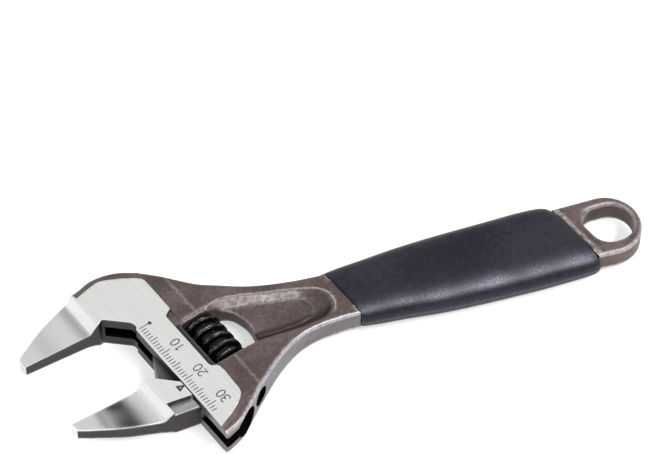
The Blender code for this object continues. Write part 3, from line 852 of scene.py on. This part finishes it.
def body_dirt(at):
    """Share of painted shade in the recess's groove and its end dish, and of a painted dark reflection across
    the fixed jaw.
    """
    # painted shade along the foot of the recess's lower wall
    groove = 1.2 * smooth((4.0 - at.recess) / 1.2) * smooth((at.recess + 0.3) / 0.6)
    groove = groove * smooth(-(at.side + 1) / 3) * (1 - 0.4 * smooth((at.run + 80) / 4))
    # painted shade in the dish at the recess's end, darker towards the lower right
    dish = 0.45 * smooth((at.run + 84) / 5) * smooth((1.5 - at.side) / 6) * smooth((at.recess + 0.2) / 0.8)
    # painted dark reflection: soft bands across the fixed jaw's thin faces
    shade = 0.42 * peak(at.v + 10.6, 1.6) * smooth((-9.35 - at.v) / 0.35) + 0.18 * peak(at.v + 20.5, 2.5)
    return np.where(at.v < RAMP_TOP, shade, np.clip(np.maximum(groove, dish), 0, 1) * at.shank)


def body_kind(at, skin):
    """Material of the faces."""
    kind = np.full(len(at.v), BODY_MATS.index(FORGED))
    kind[(at.v > RAMP_TOP) & (at.polished > 0)] = BODY_MATS.index(FACE)
    kind[(at.pocket > 0) & (at.u > 4.6) & (at.u < 20.3)] = BODY_MATS.index(DARK)
    kind[at.low_side & (skin > 0.2) & (at.rim < 0.6)] = BODY_MATS.index(SIDE)
    kind[at.v < RAMP_TOP] = BODY_MATS.index(RAMP)
    kind[at.v < -9.3] = BODY_MATS.index(THIN)
    return kind


def body_measure(points, under):
    at = BodyPlan(points)
    base, skin = body_level(at, under)
    rough = rough_wall(at)
    uneven = 0.05 * lumps(points, 5.0, 3.7) + 0.025 * lumps(points, 1.8, 9.1)
    uneven = uneven + 0.11 * rough * smooth((-88 - at.run) / 4) * lumps(points, 0.9, 5.3)
    half = base - body_drop(at, under) + np.where(at.v > CORE_FROM, 0.6, 1.0) * skin * uneven
    return np.maximum(half, 0.3), body_wear(at, skin, rough), body_dirt(at), body_kind(at, skin)


def body_walls(points):
    """Material of the walls."""
    u, v = uv(points)
    side = points[:, 1] - RING[1]
    on_mouth = distance(points, MOUTH) < 0.1
    kind = np.full(len(points), BODY_MATS.index(FORGED))
    kind[((side < 0) & (v > 20) | (u > 26)) & (v < CORE_FROM)] = BODY_MATS.index(SIDE)
    kind[on_mouth] = BODY_MATS.index(DARK)
    kind[on_mouth & (u > 22)] = BODY_MATS.index(SIDE)
    kind[distance(points, WINDOW) < 0.1] = BODY_MATS.index(SHADED_FORGED)
    kind[distance(points, HOLE) < 0.1] = BODY_MATS.index(SHADED_FORGED)
    kind[v < RAMP_TOP] = BODY_MATS.index(DARK)
    kind[(v < TIP_V + 0.6) & (u < -0.3) | (v < RAMP_TOP) & (u < -12)] = BODY_MATS.index(THIN)
    return kind


def across(v, u0, u1):
    """Extra line across the slide, open at its ends."""
    return ([head(u0, v), head(u1, v)], False)


def make_body():
    lines = [across(v, -22, 2) for v in RAMP_LINES] + [across(HEAD_BACK, -20, 40)]
    lines += [(POLISHED, True), (STRIP, True)]
    lines += [(offset(RECESS, shift), True) for shift in RECESS_ROWS]
    lines += [(offset(PAD, shift), True) for shift in PAD_ROWS]
    lines += [(STRIP_FLOOR, True)]
    for s in (GRIP_START, GRIP_START + 0.1, GRIP_END - 0.1, GRIP_END):
        lines.append(([slanted(s, -12), slanted(s, 12)], False))
    holes = [MOUTH, WINDOW, HOLE]
    body = slab(
        "body_visual", BODY, holes, lines, body_measure, body_walls, GRID_STEP, OUTLINE_ROWS, BODY_MATS
    )
    bore = [BORE]
    slot = [(SLOT_V, SLOT_LOW), (SLOT_V, SLOT_HIGH), (RAIL_V, SLOT_HIGH), (RAIL_V, SLOT_LOW)]
    radius = RAIL_R + GAP
    rail_bore = [(BORE_START, RAIL_NOSE_R + GAP), (BORE_START + RAIL_NOSE, radius), (BEYOND, radius)]
    tools = [
        swept("cut_slot", slot, BORE_START, BEYOND, bore),
        rod("cut_bore", rail_bore, RAIL_V, bore),
        rod("cut_pin", [(1.3, PIN_HOLE_R), (24, PIN_HOLE_R)], KNURL_V, bore, 32),
        rod("cut_plug", [(22.9, PLUG_HOLE_R), (BEYOND, PLUG_HOLE_R)], KNURL_V, bore, 48),
    ]
    combine(body, tools, "DIFFERENCE")
    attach(body, "wrench_body")
    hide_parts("body")


# ---------------------------------------------------------------- movable jaw

JAW_MATS = [FACE, RAMP, DARK, THIN, STEP]
JAW_LINES = (-10.6, -10.0, -9.4, -8.8, -8.2, -7.6, -7.1, -6.6, -6.3)
MOVING_JAW = [(TIP_V - 3, 1.65), (-10.6, 2.30), (-10.0, 2.40), (-9.4, 2.70), (-8.8, 3.25), (-8.2, 3.92)]
MOVING_JAW += [(-7.6, 4.56), (-7.1, 5.02), (-6.6, 5.24), (-6.3, TOP)]
JAW_GRID_STEP = 0.6
JAW_ROWS = (0.05, 0.12, 0.22, 0.4)


def jaw_measure(points, under):
    v = uv(points)[1]
    base = along(LOWER_JAW if under else MOVING_JAW, v)
    relief = depth_in(points, RELIEF)
    floor = TOP - RELIEF_DEPTH * np.clip(relief / 0.15, 0, 1)
    base = np.where(relief > 0, np.minimum(base, floor), base)
    rim = distance(points, JAW)
    # painted dark reflection: a soft cloudy band across the moving jaw's thin face
    cloud = lumps(points, 6.0, 2.2)
    painted_dark_share = 1.12 * peak(v + 16.8 + 1.4 * cloud, 3.6) + 0.35 * peak(v + 21.8 + 2 * cloud, 1.0)
    painted_dark_share = painted_dark_share * smooth((-9.8 - v) / 2.5) * (1 + 0.3 * cloud)
    kind = np.full(len(points), JAW_MATS.index(FACE))
    kind[v < -6.6] = JAW_MATS.index(RAMP)
    kind[v < -10.0] = JAW_MATS.index(THIN)
    kind[relief > 0.14] = JAW_MATS.index(STEP)
    kind[(relief > 0) & (relief <= 0.14)] = JAW_MATS.index(DARK)
    return base - fillet(rim, 0.15), peak(rim, 0.25), np.clip(painted_dark_share, 0, 1), kind


def jaw_walls(points):
    v = uv(points)[1]
    return np.where(v < TIP_V + 0.2, JAW_MATS.index(RAMP), JAW_MATS.index(DARK))


def make_jaw():
    lines = [across(v, 8, 30) for v in JAW_LINES]
    lines += [(RELIEF, True), (RELIEF_FLOOR, True)]
    jaw = slab("jaw_visual", JAW, [], lines, jaw_measure, jaw_walls, JAW_GRID_STEP, JAW_ROWS, JAW_MATS)
    combine(jaw, [prism("jaw_web", heads(WEB), HALF - WEB_HALF, HALF + WEB_HALF, [DARK])], "UNION")
    profile = [(RAIL_START, RAIL_NOSE_R - 0.3), (RAIL_START + 0.3, RAIL_NOSE_R + 0.2)]
    profile += [(RAIL_START + RAIL_NOSE, RAIL_R), (RAIL_END - 0.5, RAIL_R), (RAIL_END, RAIL_R - 0.5)]
    rail = rod("jaw_rail", profile, RAIL_V, [DARK])
    combine(rail, [rack_cutter()], "DIFFERENCE")
    combine(jaw, [rail], "UNION")
    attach(jaw, "jaw")
    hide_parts("movable_jaw")


def rack_cutter():
    """Straight rack teeth, leaning with the worm's helix."""
    slope = LEAD / (2 * math.pi * 4.6)
    floor = KNURL_V - KNURL_R - 0.35
    tip = KNURL_V - KNURL_ROOT - 0.35
    line = []
    for k in range(-3, 8):
        middle = KNURL_U + k * LEAD
        line += [(middle - 1.25, tip), (middle - 0.62, floor), (middle + 0.62, floor), (middle + 1.25, tip)]
    line = [(line[0][0], tip + 1.2)] + line + [(line[-1][0], tip + 1.2)]
    loops = [[(*head(u + slope * z, v), HALF + z) for u, v in line] for z in (-5, 5)]
    return loft("cut_rack", loops, [DARK])


# ---------------------------------------------------------------- knurl

CREST_HALF = 0.42  # half width of the worm's flat crest
FLANK = 0.66  # width of one flank
KNURL_SIDES = 120
KNURL_ROWS = 232


def worm_radius(x, theta):
    """Radius, and how far down the flank it is; the flat crest has a shallow groove."""
    phase = (x / LEAD + theta / (2 * math.pi)) % 1.0
    off = min(phase, 1 - phase) * LEAD
    t = min(max((off - CREST_HALF) / FLANK, 0), 1)
    t = t * t * (3 - 2 * t) * 0.35 + t * 0.65
    radius = KNURL_R + (KNURL_ROOT - KNURL_R) * t
    radius -= 0.13 * math.exp(-((off / 0.13) ** 2))
    from_end = KNURL_LEN / 2 - abs(x)
    return min(radius, KNURL_R - 0.7 + from_end * 1.2), t


def make_knurl():
    half = KNURL_LEN / 2
    bm = bmesh.new()
    wear_and_sheen = bm.verts.layers.float.new("wear_and_sheen")

    def ring(x, radius_of):
        verts = []
        for i in range(KNURL_SIDES):
            a = 2 * math.pi * i / KNURL_SIDES
            radius, share = radius_of(x, a)
            plan = head(KNURL_U + x, KNURL_V - radius * math.cos(a))
            vert = bm.verts.new(Vector((*plan, HALF - radius * math.sin(a))) * MM)
            vert[wear_and_sheen] = share
            verts.append(vert)
        return verts

    def thread(x, a):
        radius, t = worm_radius(x, a)
        return radius, max(0.0, 1 - t * 6) if radius > KNURL_R - 0.3 else 0.0

    def plain(radius):
        return lambda x, a: (radius, 0)

    rings = [ring(-half + COUNTERBORE_DEPTH, plain(PIN_HOLE_R))]
    rings += [ring(x, plain(COUNTERBORE_R)) for x in (-half + COUNTERBORE_DEPTH, -half)]
    rings += [ring(-half + KNURL_LEN * i / KNURL_ROWS, thread) for i in range(KNURL_ROWS + 1)]
    rings += [ring(half, plain(PIN_HOLE_R))]
    stitch(bm, rings, True)
    bmesh.ops.recalc_face_normals(bm, faces=bm.faces)
    knurl = finish_mesh("knurl_visual", bm, [BLACK], 40)
    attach(knurl, "knurl")
    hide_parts("adjusting_knurl")


# ---------------------------------------------------------------- grip

# station, half width, half thickness, and shift towards +Y
GRIP_SHAPE = [
    (GRIP_START + 0.1, 8.4, 3.8, 0.1),
    (GRIP_START + 0.6, 8.8, 4.15, 0.1),
    (-69.0, 9.3, 4.5, 0.1),
    (-62.0, 9.9, 4.75, 0.1),
    (-52.0, 10.9, 5.15, 0.0),
    (-40.0, 11.5, HALF, 0.0),
    (-27.0, 11.8, HALF, 0.0),
    (-17.0, 11.9, 5.1, 0.2),
    (-11.6, 11.75, 4.75, 0.2),
    (GRIP_END - 0.9, 11.2, 4.3, 0.2),
    (GRIP_END - 0.3, 10.4, 3.7, 0.1),
]
GRIP_SIDES = 160
GRIP_POWER = 0.73  # below 1 squares the oval section
SEAM = 0.10  # height of the parting line on the sleeve's edges
# rings that round the sleeve's ends: shift along the handle, shrinkage, worn share
START_LIP = [(0.6, 1.0, 0), (0, 0.55, 0.2), (0, 0.2, 0.3)]
END_LIP = [(0.1, 0.25, 0.3), (0.1, 0.7, 0.2), (-0.6, 1.1, 0)]


def make_grip():
    bm = bmesh.new()
    wear_and_sheen = bm.verts.layers.float.new("wear_and_sheen")

    def section(s, width, thick, shift, grow, share):
        verts = []
        for k in range(GRIP_SIDES):
            a = 2 * math.pi * k / GRIP_SIDES
            c, d = math.cos(a), math.sin(a)
            seam = SEAM * math.exp(-((d / 0.035) ** 2))
            y = shift + math.copysign(abs(c) ** GRIP_POWER * (width - grow + seam), c)
            z = HALF + math.copysign(abs(d) ** GRIP_POWER * min(thick - grow, HALF - 0.02), d)
            vert = bm.verts.new(Vector((*slanted(s, y), z)) * MM)
            # painted highlight: a pale speckled band along the shoulders of the -Y edge
            shoulder_highlight = math.exp(-(((abs(d) - 0.66) / 0.14) ** 2)) if c < 0 else 0.0
            highlight_patch = 0.5 + 0.9 * noise.noise(Vector((s / 7, d, 4.4)))
            vert[wear_and_sheen] = share + 0.35 * (seam / SEAM) + max(0, highlight_patch) * shoulder_highlight
            verts.append(vert)
        return verts

    shape = spline(GRIP_SHAPE, 8)
    start, *start_size = shape[0]
    end, *end_size = shape[-1]
    rings = [section(start + s, *start_size, grow, share) for s, grow, share in START_LIP]
    rings += [section(s + 0.05, *size, 0, 0) for s, *size in shape]
    rings += [section(end + s, *end_size, grow, share) for s, grow, share in END_LIP]
    stitch(bm, rings, True)
    bmesh.ops.recalc_face_normals(bm, faces=bm.faces)
    grip = finish_mesh("grip_visual", bm, [RUBBER], 50)
    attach(grip, "wrench_body")
    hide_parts("handle_grip")
    return grip


# ---------------------------------------------------------------- scale and pointer

MARK_RAISE = 0.012  # above the ground face
TICK_WIDTH = 0.24
DIGIT_WIDTH = 0.3
DIGIT_SIZE = 2.5
DIGIT_V = 6.9


def ribbon(bm, points, width, closed=False):
    """Flat stroke through plan points, just proud of the ground face."""
    line = [np.array(p, float) for p in points]
    count = len(line)
    sides = []
    for i, here in enumerate(line):
        before = here - line[i - 1] if (closed or i > 0) else line[1] - here
        after = line[(i + 1) % count] - here if (closed or i < count - 1) else here - line[i - 1]
        before = before / max(np.hypot(*before), 1e-9)
        after = after / max(np.hypot(*after), 1e-9)
        n1, n2 = np.array([-before[1], before[0]]), np.array([-after[1], after[0]])
        middle = n1 + n2
        middle = middle / max(np.hypot(*middle), 1e-9)
        reach = width / 2 / max(middle @ n1, 0.5)
        sides.append((here + middle * reach, here - middle * reach))
    level = HALF + TOP + MARK_RAISE
    verts = [[bm.verts.new(Vector((*head(*q), level)) * MM) for q in pair] for pair in sides]
    pairs = list(zip(verts, verts[1:] + (verts[:1] if closed else [])))
    for (a, b), (c, d) in pairs if closed else pairs[: count - 1]:
        bm.faces.new((a, b, d, c))


def turn(cy, rx, ry, start, end, count):
    """Points round an ellipse at x = 0, from and to angles in half turns."""
    angles = np.linspace(start * math.pi, end * math.pi, count)
    return [(rx * math.cos(a), cy + ry * math.sin(a)) for a in angles]


NUMERALS = {
    "0": turn(0.5, 0.29, 0.5, 0, 2, 25)[:-1],
    "1": [(-0.2, 0.78), (0.06, 1.0), (0.06, 0.0)],
    "2": turn(0.72, 0.27, 0.27, 0.95, -0.25, 12) + [(-0.28, 0.02), (0.3, 0.02)],
    "3": turn(0.75, 0.25, 0.24, 0.85, -0.5, 12) + turn(0.26, 0.29, 0.27, 0.5, -0.88, 14),
}


def digit(bm, numeral, u):
    """Numeral with its top towards the jaw tips, read towards -U; u is the middle of its base."""
    points = [(u - x * DIGIT_SIZE, DIGIT_V - y * DIGIT_SIZE) for x, y in NUMERALS[numeral]]
    ribbon(bm, points, DIGIT_WIDTH, numeral == "0")


def make_scale():
    bm = bmesh.new()
    for k in range(33):
        length = 2.7 if k % 10 == 0 else 2.3 if k % 5 == 0 else 1.6
        ribbon(bm, [(k, 0.7), (k, 0.7 + length)], TICK_WIDTH)
    for tens in (1, 2, 3):
        digit(bm, str(tens), 10 * tens + 1.0)
        digit(bm, "0", 10 * tens - 1.0)
    ribbon(bm, [(-0.35, 3.7), (0.5, 4.2)], 0.9)
    marks = finish_mesh("scale_marks", bm, [MARK])
    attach(marks, "wrench_body")
    bm = bmesh.new()
    ribbon(bm, [(21.4, -0.45), (20.7, -2.0), (22.0, -2.0)], 0.60, True)
    pointer = finish_mesh("scale_pointer", bm, [MARK])
    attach(pointer, "jaw")


# ---------------------------------------------------------------- stage

SENSOR = 36.0  # width of the camera's sensor
LENS = 153.4246575  # its focal length
CAMERA_AT = (-0.13708, -0.40863, 0.5940)
CAMERA_TILT = 38
CAMERA_TURN = -18
FLOOR_HALF = 3.0  # metres


def area(name, location, target, size, power):
    data = bpy.data.lights.new(name, "AREA")
    data.shape = "RECTANGLE"
    data.size, data.size_y = size
    data.energy = power
    obj = bpy.data.objects.new(name, data)
    obj.location = location
    obj.rotation_euler = (Vector(target) - Vector(location)).to_track_quat("-Z", "Y").to_euler()
    bpy.context.scene.collection.objects.link(obj)
    return obj


def make_camera():
    data = bpy.data.cameras.new("camera")
    data.sensor_width = SENSOR
    data.lens = LENS
    data.clip_start = 0.01
    camera = bpy.data.objects.new("camera", data)
    camera.location = CAMERA_AT
    camera.rotation_euler = (math.radians(CAMERA_TILT), 0, math.radians(CAMERA_TURN))
    bpy.context.scene.collection.objects.link(camera)
    bpy.context.scene.camera = camera


def make_floor():
    """Pale table that glows a little."""
    bm = bmesh.new()
    bmesh.ops.create_grid(bm, x_segments=2, y_segments=2, size=FLOOR_HALF)
    p = Paint("light_table", 0.0, 0.8)
    p.colour(p.mix(p.noise(60.0), (0.58, 0.58, 0.58), (0.60, 0.60, 0.60)))
    p.shader.inputs["Emission Color"].default_value = (1, 1, 1, 1)
    p.shader.inputs["Emission Strength"].default_value = 0.5
    floor = finish_mesh("floor", bm, [p.mat])


def make_stage():
    make_camera()
    make_floor()
    bpy.context.scene.world = make_world()
    bpy.context.scene.view_settings.view_transform = "Standard"
    area("front_strip", (0.40, -0.42, 0.82), (0, 0, 0), (0.6, 0.07), 8)
    area("left_fill", (-0.95, 0.20, 0.20), (-0.04, 0, 0), (0.8, 0.45), 0.6)


def light_grip(grip):
    """A strip overhead that only the rubber catches, as a flag would leave it."""
    strip = area("grip_strip", (0.22, -0.22, 0.95), (0.03, 0, 0), (0.9, 0.06), 6.5)
    receivers = bpy.data.collections.new("grip_strip_receivers")
    receivers.objects.link(grip)
    strip.light_linking.receiver_collection = receivers


def make_world():
    """Soft tent light, brighter overhead than low down."""
    world = bpy.data.worlds.new("studio")
    world.use_nodes = True
    tree = world.node_tree
    background = tree.nodes["Background"]
    coords = tree.nodes.new("ShaderNodeTexCoord").outputs["Generated"]
    split = tree.nodes.new("ShaderNodeSeparateXYZ")
    tree.links.new(coords, split.inputs["Vector"])
    height = tree.nodes.new("ShaderNodeMapRange")
    height.interpolation_type = "SMOOTHSTEP"
    for socket, value in (("From Min", -0.1), ("From Max", 0.85), ("To Min", 0.58), ("To Max", 1.06)):
        height.inputs[socket].default_value = value
    tree.links.new(split.outputs["Z"], height.inputs["Value"])
    background.inputs["Color"].default_value = (1, 1, 1, 1)
    tree.links.new(height.outputs["Result"], background.inputs["Strength"])
    return world


def dress_cad():
    """Materials for the two small pieces that keep their CAD shapes."""
    for name, mat in (("knurl_pin", PIN), ("knurl_spring", WIRE)):
        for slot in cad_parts[name].material_slots:
            slot.material = mat


make_stage()
make_body()
make_jaw()
make_knurl()
light_grip(make_grip())
make_scale()
dress_cad()

bpy.context.view_layer.update()
